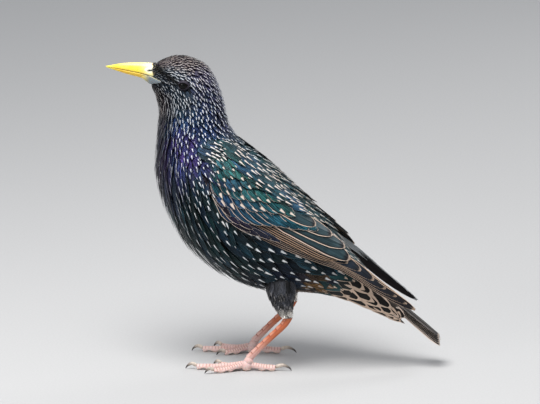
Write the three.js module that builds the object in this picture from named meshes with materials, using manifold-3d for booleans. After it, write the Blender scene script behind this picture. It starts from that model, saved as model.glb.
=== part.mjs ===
// A common starling standing at rest, life size, in millimetres, with +Z up.
// The bill points along -X, the tail along +X, and the bird's left side faces -Y.
// The origin lies on the ground, below the middle of the bird's outline.
import * as THREE from "three";
import { mergeVertices } from "three/addons/utils/BufferGeometryUtils.js";
import Module from "manifold-3d";

const wasm = await Module();
wasm.setup();

// Driving dimensions
const SEAM = 0.3; // gap left where two pieces meet
const ROOM = 400; // a size well beyond the whole bird, for the blocks that only cut
const FOOT_SPREAD = 17; // each foot's distance from the middle plane
const HEEL = { x: 8.2, z: 27.9 };
const TOE_JOINT = { x: -13.8, z: 5.4 };
const BILL = { tipX: -87, tipZ: 155.5 };
const NOSTRIL = { x: -63.9, y: 3.9, z: 154.3, long: 1.5, high: 0.55, turn: THREE.MathUtils.degToRad(18) };
// The eyes look a little forwards; the ring of the lids stands out from the eye's middle.
const EYE = { x: -45.7, y: 10.9, z: 148.9, radius: 3.1, turn: THREE.MathUtils.degToRad(10) };
const LID = { radius: 2.85, thick: 0.62, out: 1.35 };
const WING = { bendX: -35.4, bendZ: 99.3, tipX: 73, tipZ: 31 };
const TAIL = { rootX: 38, rootZ: 55.6, tipX: 87.6, tipZ: 14.6, arch: 0.03 };
const RECTRICES = 6; // tail feathers on each side
const VANE = 0.5; // thickness of a feather
const LEAN = 0.11; // how much each wing feather leans across its width
const PAD_FLAT = 0.3; // how far the pads are pressed flat on the ground
const TOES = [
  { name: "middle", turn: 0, reach: 25.5, thick: 1.75, claw: 5.6 },
  { name: "inner", turn: 24, reach: 14.5, thick: 1.55, claw: 4.6 },
  { name: "outer", turn: -24, reach: 17.5, thick: 1.6, claw: 4.8 },
  { name: "hind", turn: 180, reach: 15.5, thick: 1.9, claw: 8.2 },
];

// The body in side view: a point on the throat-and-belly line, a point on the crown-and-back
// line, and half the width between them, at stations from the bill to the rump.
const STATIONS = [
  { at: "bill base", front: [-63.7, 146.6], back: [-61.6, 157.4], half: 4.8 },
  { at: "forehead", front: [-63.0, 144.6], back: [-58.0, 159.6], half: 7.6 },
  { at: "brow", front: [-62.2, 142.2], back: [-50.5, 162.0], half: 10.2 },
  { at: "crown", front: [-61.3, 139.2], back: [-42.0, 160.9], half: 11.8 },
  { at: "hind crown", front: [-60.6, 136.0], back: [-34.4, 156.7], half: 12.7 },
  { at: "nape", front: [-60.3, 132.0], back: [-29.2, 148.0], half: 13.4 },
  { at: "upper neck", front: [-60.7, 127.0], back: [-25.7, 137.4], half: 14.2 },
  { at: "neck", front: [-61.3, 120.0], back: [-22.9, 125.8], half: 15.8 },
  { at: "neck base", front: [-62.2, 111.5], back: [-15.2, 115.6], half: 19.2 },
  { at: "shoulder", front: [-62.2, 99.0], back: [-7.0, 110.2], half: 23.4 },
  { at: "breast", front: [-57.2, 81.0], back: [3.2, 102.0], half: 26.2 },
  { at: "keel", front: [-45.8, 61.4], back: [12.8, 92.8], half: 27.3 },
  { at: "belly", front: [-29.0, 47.9], back: [21.2, 84.2], half: 26.5 },
  { at: "flank", front: [-11.5, 40.6], back: [28.0, 77.0], half: 23.6 },
  { at: "vent", front: [3.5, 38.6], back: [33.6, 69.4], half: 19.2 },
  { at: "rump", front: [16.5, 38.2], back: [38.6, 61.8], half: 15.0 },
];
const HEAD_END = 5.4; // station numbers where the head, the neck and the torso part
const NECK_END = 8.3;
const SECTION_POWER = 2.15; // 2 is an ellipse, more is squarer

// The tail coverts wrap a core that carries on from the rump.
const TAIL_CORE = [
  { at: "rump", front: [17.0, 38.0], back: [39.0, 61.5], half: 14.8 },
  { at: "tail base", front: [27.5, 37.0], back: [45.0, 54.4], half: 12.4 },
  { at: "first coverts", front: [38.0, 34.4], back: [52.0, 46.0], half: 10.8 },
  { at: "middle coverts", front: [50.0, 29.6], back: [60.0, 37.6], half: 9.2 },
  { at: "long coverts", front: [61.0, 24.8], back: [66.5, 31.0], half: 7.4 },
  { at: "covert tips", front: [69.0, 21.0], back: [71.0, 25.0], half: 4.6 },
];

// Materials
const paint = (color, roughness, metalness = 0) =>
  new THREE.MeshStandardMaterial({ color, roughness, metalness });
const headPlumage = paint(0x23262e, 0.45, 0.1);
const bodyPlumage = paint(0x1b2b33, 0.4, 0.2);
const wingPlumage = paint(0x27444c, 0.4, 0.2);
const flightPlumage = paint(0x4a3d33, 0.5);
const bareHorn = paint(0xf0d24a, 0.35);
const eyeball = paint(0x0d0806, 0.08);
const scales = paint(0xd28a78, 0.5);
const clawHorn = paint(0x3a3330, 0.35);

// Solids from grids and rings of points
function solidOf(points, faces) {
  const geometry = new THREE.BufferGeometry();
  const flat = points.flatMap((p) => [p.x, p.y, p.z]);
  geometry.setAttribute("position", new THREE.Float32BufferAttribute(flat, 3));
  geometry.setIndex(faces.flat());
  const merged = mergeVertices(geometry, 1e-4);
  const triangles = merged.index.array;
  const vertices = merged.attributes.position.array;
  const corner = (i) => new THREE.Vector3().fromArray(vertices, 3 * triangles[i]);
  let volume = 0;
  for (let i = 0; i < triangles.length; i += 3) {
    volume += corner(i).dot(corner(i + 1).cross(corner(i + 2)));
  }
  const kept = [];
  for (let i = 0; i < triangles.length; i += 3) {
    const [a, b, c] = [triangles[i], triangles[i + 1], triangles[i + 2]];
    if (a !== b && b !== c && a !== c) kept.push(...(volume > 0 ? [a, b, c] : [a, c, b]));
  }
  const vertProperties = new Float32Array(vertices);
  return new wasm.Manifold(new wasm.Mesh({ numProp: 3, vertProperties, triVerts: new Uint32Array(kept) }));
}

// A closed tube through rings of points, with a flat cap fanned from each end's middle.
function loft(rings) {
  const around = rings[0].length;
  const points = rings.flat();
  const faces = [];
  for (let i = 0; i + 1 < rings.length; i++) {
    for (let j = 0; j < around; j++) {
      const a = i * around + j;
      const b = i * around + ((j + 1) % around);
      faces.push([a, b, b + around], [a, b + around, a + around]);
    }
  }
  for (const [ring, flip] of [[0, false], [rings.length - 1, true]]) {
    const middle = points.length;
    points.push(rings[ring].reduce((sum, p) => sum.add(p), new THREE.Vector3()).divideScalar(around));
    for (let j = 0; j < around; j++) {
      const a = ring * around + j;
      const b = ring * around + ((j + 1) % around);
      faces.push(flip ? [middle, a, b] : [middle, b, a]);
    }
  }
  return solidOf(points, faces);
}

// A thin plate between two grids of points, split into triangles alike on both faces.
function plate(top, bottom) {
  const [rows, columns] = [top.length, top[0].length];
  const points = [...top.flat(), ...bottom.flat()];
  const under = rows * columns;
  const at = (i, j) => i * columns + j;
  const faces = [];
  for (let i = 0; i + 1 < rows; i++) {
    for (let j = 0; j + 1 < columns; j++) {
      const [a, b, c, d] = [at(i, j), at(i + 1, j), at(i + 1, j + 1), at(i, j + 1)];
      faces.push([a, b, c], [under + a, under + c, under + b]);
      faces.push([a, c, d], [under + a, under + d, under + c]);
    }
  }
  const wall = (a, b) => faces.push([a, under + a, under + b], [a, under + b, b]);
  for (let i = 0; i + 1 < rows; i++) {
    wall(at(i, 0), at(i + 1, 0));
    wall(at(i + 1, columns - 1), at(i, columns - 1));
  }
  for (let j = 0; j + 1 < columns; j++) {
    wall(at(0, j + 1), at(0, j));
    wall(at(rows - 1, j), at(rows - 1, j + 1));
  }
  return solidOf(points, faces);
}

const sum = (solids) => solids.reduce((a, b) => a.add(b));
const largest = (solid) => solid.decompose().reduce((a, b) => (a.volume() > b.volume() ? a : b));
const fromGeometry = (geometry) => {
  const merged = geometry.index ? geometry.toNonIndexed() : geometry;
  const p = merged.getAttribute("position");
  const points = Array.from({ length: p.count }, (_, i) => new THREE.Vector3().fromBufferAttribute(p, i));
  return solidOf(points, Array.from({ length: p.count / 3 }, (_, i) => [3 * i, 3 * i + 1, 3 * i + 2]));
};

const bird = new THREE.Group();
function add(name, solid, material) {
  const whole = largest(solid).getMesh();
  const geometry = new THREE.BufferGeometry();
  geometry.setAttribute("position", new THREE.BufferAttribute(new Float32Array(whole.vertProperties), 3));
  geometry.setIndex(new THREE.BufferAttribute(new Uint32Array(whole.triVerts), 1));
  geometry.computeVertexNormals();
  const mesh = new THREE.Mesh(geometry, material);
  mesh.name = name;
  bird.add(mesh);
}

// Smooth values between stations
const steps = (from, to, count) =>
  Array.from({ length: count + 1 }, (_, i) => from + ((to - from) * i) / count);
const spline = (values) => {
  const curve = new THREE.CatmullRomCurve3(values.map(([x, y, z = 0]) => new THREE.Vector3(x, y, z)));
  curve.curveType = "catmullrom";
  return (t) => curve.getPoint(THREE.MathUtils.clamp(t / (values.length - 1), 0, 1));
};
const smooth = (values) => {
  const curve = spline(values.map((value) => [value, 0]));
  return (t) => curve(t).x;
};

// The rings of a round form given by stations, grown outwards where a clearance is needed
function outline(stations) {
  const front = spline(stations.map((s) => s.front));
  const back = spline(stations.map((s) => s.back));
  const half = smooth(stations.map((s) => s.half));
  const bulge = (v) => Math.sign(v) * Math.abs(v) ** (2 / SECTION_POWER);
  return (t, around, grow = 0) => {
    const [f, b] = [front(t), back(t)];
    const middle = f.clone().add(b).multiplyScalar(0.5);
    const up = b.clone().sub(f);
    const tall = up.length() / 2 + grow;
    const wide = half(t) + grow;
    up.normalize();
    return Array.from({ length: around }, (_, i) => {
      const angle = (2 * Math.PI * (i + 0.5)) / around;
      const [side, rise] = [wide * bulge(Math.cos(angle)), tall * bulge(Math.sin(angle))];
      return new THREE.Vector3(middle.x + up.x * rise, side, middle.y + up.y * rise);
    });
  };
}
const bodyRing = outline(STATIONS);
const tailRing = outline(TAIL_CORE);

// A box placed by its middle, its size and its turn about Y
function block([x, y, z], [long, wide, high], turn = 0) {
  const box = new THREE.BoxGeometry(long, wide, high);
  box.rotateY(turn);
  box.translate(x, y, z);
  return fromGeometry(box);
}
// A thin slab in the plane of the body's section at station t
function cutAt(t) {
  const [f, b] = [spline(STATIONS.map((s) => s.front))(t), spline(STATIONS.map((s) => s.back))(t)];
  const middle = [(f.x + b.x) / 2, 0, (f.y + b.y) / 2];
  return block(middle, [ROOM / 4, ROOM / 4, SEAM], -Math.atan2(b.y - f.y, b.x - f.x));
}

// Body whole, then parted by two thin cuts
const BODY_SIDES = 24;
const BODY_RINGS = 36;
const wholeBody = (grow = 0) =>
  loft(steps(0, STATIONS.length - 1, BODY_RINGS).map((t) => bodyRing(t, BODY_SIDES, grow)));

// Folded wing: it lies on a shell round the body. Along runs from the bend to the tip, up runs
// from the wing's lower edge over towards the back, and out is the height above the shell.
const wingAxis = new THREE.Vector2(WING.tipX - WING.bendX, WING.tipZ - WING.bendZ);
const wingLength = wingAxis.length();
wingAxis.normalize();
const wingUp = new THREE.Vector2(-wingAxis.y, wingAxis.x);
const shellMiddle = smooth([-3, -7.2, -9.2, -7.3, -3, -1, 0]);
const shellHigh = smooth([28.5, 30.4, 28.4, 22.6, 14.5, 8.5, 5]);
const shellWide = smooth([20.5, 25, 26.6, 24.8, 19.6, 14.6, 11]);
const lowEdge = smooth([4, -0.5, 3.2, 4.6, 3.6, 0.8, 0]); // above the shell's widest level
const WING_TOP = 26; // the height over the back where the shape of the lower edge no longer tells
function onWing(side, along, up, out) {
  const t = (along / wingLength) * 6;
  const turn = (up + lowEdge(t) * (1 - up / WING_TOP)) / shellHigh(t);
  const across = shellMiddle(t) + (shellHigh(t) + out) * Math.sin(turn);
  return new THREE.Vector3(
    WING.bendX + wingAxis.x * along + wingUp.x * across,
    side * (shellWide(t) + out) * Math.cos(turn),
    WING.bendZ + wingAxis.y * along + wingUp.y * across,
  );
}
// A curved slab of the wing, with its edges as functions of the distance along
function wingSlab(side, { from, to, low, high, inner, outer }, spare = 0) {
  const grid = (out) =>
    steps(from - spare, to + spare, 12).map((u) =>
      steps(0, 1, 3).map((k) => onWing(side, u, low(u) - spare + (high(u) - low(u) + 2 * spare) * k, out)),
    );
  return plate(grid(outer), grid(inner));
}

// A feather's vane on a surface given by place(along, up, out). It runs from its root to its
// tip, is widest past its middle, and leans across by slope so that each lies over the next.
function vane(place, root, tip, half, { out, slope, rows, bend = 0 }) {
  const [du, dv] = [tip[0] - root[0], tip[1] - root[1]];
  const far = Math.hypot(du, dv);
  const grid = (drop) =>
    steps(0, 1, rows).map((k) => {
      const s = 1 - (1 - k) ** 1.3;
      const taper = Math.max(0.1, 1 - Math.max(0, (s - 0.5) / 0.5) ** 3.2);
      const width = half * Math.min(1, 0.55 + 1.5 * s) * taper;
      const lift = out - drop * (1 - 0.4 * s ** 4);
      return [-1, 1].map((w) =>
        place(
          root[0] + du * s - (w * width * dv) / far,
          root[1] + dv * s + bend * Math.sin(Math.PI * s) + (w * width * du) / far,
          lift - slope * w * width,
        ),
      );
    });
  return plate(grid(0), grid(VANE));
}
const random = (seed) => {
  const wave = Math.sin(seed * 127.1 + 11.7) * 43758.5453;
  return 2 * (wave - Math.floor(wave)) - 1;
};

// Layers of the folded wing, from the primaries underneath to the coverts on top
const rounded = (u, length, rise, power) => rise * Math.max(0, 1 - (u / length) ** power);

function primaries(place) {
  const count = 6;
  return steps(0, 1, count - 1).map((k, i) => {
    const end = wingLength - 0.4 - 43 * k ** 1.15 + 0.4 * random(i);
    const tip = [end, 1.4 + 3.2 * k];
    return vane(place, [6, 2.6 + 5 * k], tip, 2.6 + 1.6 * k, { out: -0.85, slope: LEAN, rows: 6, bend: 0.6 });
  });
}
function secondaries(place) {
  const spread = steps(0, 1, 4).map((k, i) => {
    const tip = [77.5 + 7 * k + 0.4 * random(20 + i), 4.2 + 3.4 * k];
    return vane(place, [14, 5.5 + 6 * k], tip, 4.0, { out: 1.05, slope: LEAN, rows: 4, bend: 2.6 });
  });
  const tertials = steps(0, 1, 2).map((k) =>
    vane(place, [26 - 6 * k, 15 + 6 * k], [85 - 17 * k, 9 + 12 * k], 5.0, {
      out: 1.1,
      slope: LEAN,
      rows: 4,
      bend: 2.5 - k,
    }),
  );
  return [...spread, ...tertials];
}
const COVERT_ROWS = [
  { name: "primary", count: 3, first: [31, 1.6], last: [48, 3.6], back: [22, -1], half: 2.0, out: 2.2 },
  { name: "greater", count: 8, first: [22.5, 1.6], last: [63, 18.5], back: [21, -4], half: 3.4, out: 2.5 },
  { name: "median", count: 6, first: [15, 4.2], last: [46, 20.4], back: [13, -2.6], half: 3.3, out: 2.9 },
  { name: "lesser", count: 4, first: [10, 6.4], last: [31, 21], back: [9, -1.5], half: 3.6, out: 3.2 },
  { name: "marginal", count: 3, first: [6.2, 8], last: [18, 21], back: [6, -0.8], half: 4.2, out: 3.4 },
];
function coverts(place) {
  return COVERT_ROWS.flatMap(({ count, first, last, back, half, out }, row) =>
    steps(0, 1, count - 1).map((k, i) => {
      const drift = 0.35 * random(50 * row + i);
      const tip = [first[0] + (last[0] - first[0]) * k + drift, first[1] + (last[1] - first[1]) * k ** 0.85];
      return vane(place, [tip[0] - back[0], tip[1] - back[1]], tip, half, { out, slope: LEAN, rows: 3 });
    }),
  );
}
const LAYERS = [
  {
    name: "primaries",
    from: 3,
    to: wingLength + 0.5,
    low: () => -2,
    high: (u) => 2.8 + rounded(u, wingLength, 11, 3),
    inner: -2.6,
    feathers: primaries,
    material: flightPlumage,
  },
  {
    name: "secondaries",
    from: 8,
    to: 90,
    low: () => 1,
    high: (u) => 12 + rounded(u, 92, 17, 4),
    inner: -0.3,
    feathers: secondaries,
    material: flightPlumage,
  },
  {
    name: "coverts",
    from: -1,
    to: 65.5,
    low: (u) => -2 + 7 * (u / 64) ** 2,
    high: () => 25,
    inner: 1.3,
    feathers: coverts,
    material: wingPlumage,
  },
];
// The space that each wing needs is cleared from the body beneath it.
const WING_BED = 9; // how far that space reaches above the shell
const wingSpaces = [-1, 1].flatMap((side) =>
  LAYERS.map((layer) => wingSlab(side, { ...layer, inner: layer.inner - SEAM, outer: WING_BED }, SEAM)),
);
const clearOfWings = (solid) => wingSpaces.reduce((rest, space) => rest.subtract(space), solid);

// A tube along a path that keeps to one upright plane, with a radius at each of its points
function limb(points, radii, sides, rings, flatten = 1) {
  const path = spline(points);
  const radius = smooth(radii);
  const last = points.length - 1;
  const [from, to] = [points[0], points[last]];
  const heading = new THREE.Vector3(to[0] - from[0], to[1] - from[1], 0).normalize();
  const side = new THREE.Vector3(-heading.y, heading.x, 0);
  return loft(
    steps(0, last, rings).map((t) => {
      const tangent = path(Math.min(t + 0.02, last)).sub(path(Math.max(t - 0.02, 0))).normalize();
      const up = side.clone().cross(tangent).normalize();
      return Array.from({ length: sides }, (_, i) => {
        const angle = (2 * Math.PI * i) / sides;
        const r = radius(t);
        return path(t)
          .addScaledVector(side, r * flatten * Math.cos(angle))
          .addScaledVector(up, r * Math.sin(angle));
      });
    }),
  );
}
const aboveGround = block([0, 0, ROOM / 2], [ROOM, ROOM, ROOM]);

// Head, neck and torso
const ball = ([x, y, z], radius, detail = 14) => {
  const sphere = new THREE.SphereGeometry(radius, detail, detail / 2);
  sphere.translate(x, y, z);
  return fromGeometry(sphere);
};
const eyeAt = (side) => [EYE.x, side * EYE.y, EYE.z];
const ring = ([x, y, z], radius, thick, side) => {
  const torus = new THREE.TorusGeometry(radius, thick, 6, 16);
  torus.rotateX(Math.PI / 2);
  torus.rotateZ(side * EYE.turn);
  torus.translate(x, y, z);
  return fromGeometry(torus);
};

const body = wholeBody();
const cuts = cutAt(HEAD_END).add(cutAt(NECK_END));
const [torsoWhole, neck, headWhole] = body
  .subtract(cuts)
  .decompose()
  .sort((a, b) => a.boundingBox().max[2] - b.boundingBox().max[2]);

let head = headWhole;
for (const side of [-1, 1]) {
  const [x, y, z] = eyeAt(side);
  const lidAt = [x - LID.out * Math.sin(EYE.turn), y + side * LID.out * Math.cos(EYE.turn), z];
  head = head.add(ring(lidAt, LID.radius, LID.thick, side));
  head = head.subtract(ball(eyeAt(side), EYE.radius + SEAM));
}
add("head", head, headPlumage);
add("neck", clearOfWings(neck), headPlumage);
add("torso", clearOfWings(torsoWhole), bodyPlumage);
for (const [name, side] of [["left", -1], ["right", 1]]) {
  add(`eye_${name}`, ball(eyeAt(side), EYE.radius), eyeball);
}

// Bill: two halves that meet along the mouth line, each a loft from the tip to the face
const billLine = (lift, ...rest) => spline([[BILL.tipX, BILL.tipZ + lift], ...rest]);
const mouthLine = billLine(0, [-77.3, 154.2], [-67.5, 152.5], [-61.8, 150.6], [-57, 147.4]);
const culmen = billLine(0.3, [-78.6, 157.5], [-70.5, 157.9], [-63.5, 157.6], [-57, 157.4]);
const chin = billLine(-0.25, [-77.1, 152.1], [-67.4, 149.5], [-62, 146.2], [-57, 144]);
const billHalf = smooth([0.45, 1.9, 3.1, 4.2, 4.9]);
function billRing(t, edge, upper) {
  const mouth = mouthLine(t);
  const rim = edge(t);
  const gap = upper ? SEAM / 2 : -SEAM / 2;
  return steps(0, Math.PI, 8).map((angle) => {
    const rise = (rim.y - mouth.y - gap) * Math.sin(angle) ** 0.8;
    return new THREE.Vector3(mouth.x, billHalf(t) * Math.cos(angle), mouth.y + gap + rise);
  });
}
const [chinAt, foreheadAt] = [STATIONS[0].front, STATIONS[0].back];
const faceLean = Math.atan2(foreheadAt[1] - chinAt[1], foreheadAt[0] - chinAt[0]);
// The bill is cut off at the face by a block that fills the head.
const FACE_DEEP = 30;
const face = block(
  [
    (chinAt[0] + foreheadAt[0]) / 2 + (FACE_DEEP / 2 - SEAM) * Math.sin(faceLean),
    0,
    (chinAt[1] + foreheadAt[1]) / 2 - (FACE_DEEP / 2 - SEAM) * Math.cos(faceLean),
  ],
  [ROOM / 8, ROOM / 8, FACE_DEEP],
  -faceLean,
);
const nostrils = [-1, 1].map((side) => {
  const pit = new THREE.SphereGeometry(1, 10, 6);
  pit.scale(NOSTRIL.long, 1, NOSTRIL.high);
  pit.rotateY(NOSTRIL.turn);
  pit.translate(NOSTRIL.x, side * NOSTRIL.y, NOSTRIL.z);
  return fromGeometry(pit);
});
const billUpper = loft(steps(0, 4, 12).map((t) => billRing(t, culmen, true))).subtract(face);
add("bill_upper", nostrils.reduce((bill, pit) => bill.subtract(pit), billUpper), bareHorn);
add("bill_lower", loft(steps(0, 4, 12).map((t) => billRing(t, chin, false))).subtract(face), bareHorn);

// Wings
for (const [name, side] of [["left", -1], ["right", 1]]) {
  const place = (along, up, out) => onWing(side, along, up, out);
  for (const layer of LAYERS) {
    add(`wing_${name}_${layer.name}`, sum(layer.feathers(place)), layer.material);
  }
}

// Tail: its coverts round a core, and the folded feathers as a low roof
const tailAxis = new THREE.Vector2(TAIL.tipX - TAIL.rootX, TAIL.tipZ - TAIL.rootZ);
const tailLength = tailAxis.length();
tailAxis.normalize();
const onTail = (along, aside, out) => {
  const lift = out - TAIL.arch * aside ** 2;
  return new THREE.Vector3(
    TAIL.rootX + tailAxis.x * along - tailAxis.y * lift,
    aside,
    TAIL.rootZ + tailAxis.y * along + tailAxis.x * lift,
  );
};
// From the middle pair outwards the feathers lie lower, lean more and reach a little farther.
const tailFeathers = sum(
  [-1, 1].flatMap((side) =>
    steps(0, 1, RECTRICES - 1).map((k, i) => {
      const root = [1, side * (0.6 + 2.6 * k)];
      const tip = [tailLength - 3 + 3.4 * k + 0.3 * random(300 + i), side * (1.5 + 4.2 * k)];
      const form = { out: -1.9 * k, slope: side * (0.1 + 0.16 * k), rows: 3, bend: side * 2.6 * k };
      return vane(onTail, root, tip, 3.4, form);
    }),
  ),
);
const tailCore = loft(steps(0, TAIL_CORE.length - 1, 10).map((t) => tailRing(t, 14)));
const rumpCut = cutAt(STATIONS.length - 1);
const tailWhole = tailCore.add(tailFeathers).subtract(rumpCut).subtract(wholeBody(SEAM));
add("tail", clearOfWings(tailWhole), flightPlumage);

// Legs: feathered above the heel, scaled below it
for (const [name, side] of [["left", -1], ["right", 1]]) {
  const y = side * FOOT_SPREAD;
  const thigh = limb(
    [[4.5, y * 0.8, 50], [4.3, y * 0.88, 42], [5.6, y * 0.97, 34], [7.4, y, 28.4]],
    [8.4, 7.8, 5.4, 2.9],
    14,
    6,
    0.8,
  );
  const tarsus = (grow) =>
    limb(
      [
        [HEEL.x + grow, y, HEEL.z + 0.4 + grow],
        [5.6, y, 24.6],
        [-4, y, 15.0],
        [TOE_JOINT.x + 1.2 - grow, y, TOE_JOINT.z + 0.6 - grow],
      ],
      [2.4 + grow, 1.95 + grow, 1.75 + grow, 2.0 + grow],
      12,
      9,
      0.78,
    );
  add(`thigh_${name}`, thigh.subtract(wholeBody(SEAM)).subtract(tarsus(SEAM)), bodyPlumage);

  add(`tarsus_${name}`, tarsus(0), scales);

  const toes = TOES.map(({ turn, reach, thick }) => {
    const angle = Math.PI + side * THREE.MathUtils.degToRad(turn);
    const at = (far, z) => [TOE_JOINT.x + Math.cos(angle) * far, y + Math.sin(angle) * far, z];
    return limb(
      [
        at(-1.4, 3.6),
        at(reach * 0.25, thick + 0.9),
        at(reach * 0.6, thick - PAD_FLAT),
        at(reach, thick - PAD_FLAT),
      ],
      [2.1, thick * 0.95, thick, thick * 0.8],
      7,
      6,
    );
  });
  const sole = ball([TOE_JOINT.x + 0.4, y, 2.6], 3.1, 10);
  const foot = toes.reduce((a, b) => a.add(b), sole).subtract(tarsus(SEAM)).intersect(aboveGround);
  add(`foot_${name}`, foot, scales);

  for (const { name: toe, turn, reach, thick, claw } of TOES) {
    const angle = Math.PI + side * THREE.MathUtils.degToRad(turn);
    const start = reach + SEAM;
    const at = (far, z) => [
      TOE_JOINT.x + Math.cos(angle) * (start + far),
      y + Math.sin(angle) * (start + far),
      z,
    ];
    const hook = limb(
      [at(0, thick + 0.5), at(claw * 0.42, thick + 1.3), at(claw * 0.8, thick + 0.2), at(claw, 0.35)],
      [1.05, 0.9, 0.55, 0.14],
      6,
      6,
      0.7,
    );
    add(`claw_${name}_${toe}`, hook.intersect(aboveGround), clawHorn);
  }
}

export default bird;
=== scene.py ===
import math

import bmesh
import bpy
import numpy as np
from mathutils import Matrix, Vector, kdtree


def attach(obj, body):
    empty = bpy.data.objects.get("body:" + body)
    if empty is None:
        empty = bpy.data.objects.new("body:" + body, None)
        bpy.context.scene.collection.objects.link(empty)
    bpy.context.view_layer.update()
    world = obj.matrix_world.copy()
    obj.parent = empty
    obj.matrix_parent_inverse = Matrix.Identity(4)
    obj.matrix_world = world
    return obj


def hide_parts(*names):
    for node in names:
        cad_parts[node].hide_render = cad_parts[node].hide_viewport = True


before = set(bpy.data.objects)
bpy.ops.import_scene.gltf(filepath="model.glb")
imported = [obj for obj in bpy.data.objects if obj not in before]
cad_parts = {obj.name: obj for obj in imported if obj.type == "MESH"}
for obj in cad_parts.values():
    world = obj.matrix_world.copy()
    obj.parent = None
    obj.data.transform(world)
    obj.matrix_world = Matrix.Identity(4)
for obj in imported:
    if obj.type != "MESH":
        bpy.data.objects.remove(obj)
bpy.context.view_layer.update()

# The view. The bird is seen from its left side, from a little above and a little
# towards the tail, with a long lens, so that it fills the frame as it stands.
VIEW_YAW, VIEW_TILT = math.radians(4.5), math.radians(14)
VIEW_CENTRE, VIEW_FAR = Vector((-0.0026, 0, 0.0855)), 2.5
level = math.cos(VIEW_TILT)
forward = Vector((-math.sin(VIEW_YAW) * level, math.cos(VIEW_YAW) * level, -math.sin(VIEW_TILT)))


def stand(name, data, place=(0, 0, 0), heading=None):
    """A new object in the scene, at a place; a camera or a lamp looks along its heading."""
    thing = bpy.data.objects.new(name, data)
    thing.location = place
    if heading:
        thing.rotation_mode = "QUATERNION"
        thing.rotation_quaternion = heading.to_track_quat("-Z", "Y")
    bpy.context.scene.collection.objects.link(thing)
    return thing


camera = stand("camera", bpy.data.cameras.new("camera"), VIEW_CENTRE - forward * VIEW_FAR, forward)
camera.data.lens, camera.data.sensor_width = 323.6, 36
camera.data.clip_start, camera.data.clip_end = 0.1, 20
bpy.context.scene.camera = camera
bpy.context.scene.view_settings.view_transform = "Standard"


# The shader maths. A wire is one value in a material's tree; sums and products of
# wires add their own nodes, and any other node is made by its kind.
class Wire:
    def __init__(self, tree, socket=None):
        self.tree, self.socket = tree, socket

    def node(self, kind, settings=(), sockets=(), out=0):
        """Any node by its kind, with its settings and the values or links of its sockets."""
        made = self.tree.nodes.new("ShaderNode" + kind)
        for key, value in dict(settings).items():
            setattr(made, key, value)
        for key, value in dict(sockets).items():
            if isinstance(value, Wire):
                self.tree.links.new(value.socket, made.inputs[key])
            else:
                made.inputs[key].default_value = value
        return Wire(self.tree, made.outputs[out])

    def maths(self, operation, *others):
        return self.node("Math", {"operation": operation}, dict(enumerate((self, *others))))

    __add__ = __radd__ = lambda self, other: self.maths("ADD", other)
    __mul__ = __rmul__ = lambda self, other: self.maths("MULTIPLY", other)
    __sub__ = lambda self, other: self.maths("SUBTRACT", other)
    __rsub__ = lambda self, other: self.node("Math", {"operation": "SUBTRACT"}, {0: other, 1: self})
    __pow__ = lambda self, other: self.maths("POWER", other)

    def split(self, kind="SeparateXYZ"):
        """The three parts of this vector or colour."""
        parts = self.node(kind, sockets={0: self}).socket.node.outputs
        return [Wire(self.tree, part) for part in parts[:3]]

    def ramp(self, low, high, bottom=0.0, top=1.0):
        """A smooth step from bottom to top as this value goes from low to high."""
        sockets = {"Value": self, "From Min": low, "From Max": high, "To Min": bottom, "To Max": top}
        return self.node("MapRange", {"interpolation_type": "SMOOTHSTEP"}, sockets)

    def blend(self, below, above):
        """One colour over another, with this value as the share of the upper one."""
        below, above = ((*dye(c), 1) if isinstance(c, str) else c for c in (below, above))
        return self.node("Mix", {"data_type": "RGBA"}, {"Factor": self, 6: below, 7: above}, out=2)

    def shade(self, colour):
        """A colour made darker or lighter by this value."""
        grey = self.node("CombineXYZ", sockets=dict.fromkeys(range(3), self))
        return self.node("VectorMath", {"operation": "MULTIPLY"}, {0: colour, 1: grey})

    def place(self):
        """The place on the bird, in metres."""
        return self.node("TexCoord", out=3)

    def read(self, name, out=0):
        """A colour kept at the points of the mesh, or with 3 its fourth value."""
        return self.node("Attribute", {"attribute_name": name}, out=out)

    def noise(self, scale, detail):
        """Cloudy noise over this place."""
        return self.node("TexNoise", sockets={"Vector": self, "Scale": scale, "Detail": detail})

    def bump(self, strength, depth):
        """Raises the surface by this height."""
        self.node("Bump", sockets={"Strength": strength, "Distance": depth, "Height": self}).feed("Normal")

    def feed(self, name):
        shader = self.tree.nodes["Principled BSDF"]
        self.tree.links.new(self.socket, shader.inputs[name])


def dye(code):
    """A colour as the shader reads it, from its usual hexadecimal code."""
    parts = [int(code[i : i + 2], 16) / 255 for i in (1, 3, 5)]
    return tuple(c / 12.92 if c <= 0.04045 else ((c + 0.055) / 1.055) ** 2.4 for c in parts)


def finish(name, **constant):
    """A new material with its shader's constant values set, and a wire to build on."""
    material = bpy.data.materials.new(name)
    material.use_nodes = True
    shader = material.node_tree.nodes["Principled BSDF"]
    for key, value in constant.items():
        shader.inputs[key.replace("_", " ")].default_value = value
    return material, Wire(material.node_tree)


# The floor and the light. A plain pale floor under a large soft light from above,
# with weaker ones from the front and from behind, and a pale sky all round.
def mesh_of(*parts):
    """One smooth mesh from several bmesh parts."""
    whole = bmesh.new()
    for part in parts:
        held = bpy.data.meshes.new("held")
        part.to_mesh(held)
        part.free()
        whole.from_mesh(held)
        bpy.data.meshes.remove(held)
    for face in whole.faces:
        face.smooth = True
    mesh = bpy.data.meshes.new("joined")
    whole.to_mesh(mesh)
    whole.free()
    return mesh


floor_bm = bmesh.new()
bmesh.ops.create_grid(floor_bm, x_segments=1, y_segments=1, size=3)
floor = stand("floor", mesh_of(floor_bm))
floor_paint, wire = finish("floor_paint", Roughness=0.75)
wire.place().noise(900, 2).ramp(0.3, 0.7).blend("#b2b1b0", "#b6b5b4").feed("Base Color")
floor.data.materials.append(floor_paint)

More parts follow.
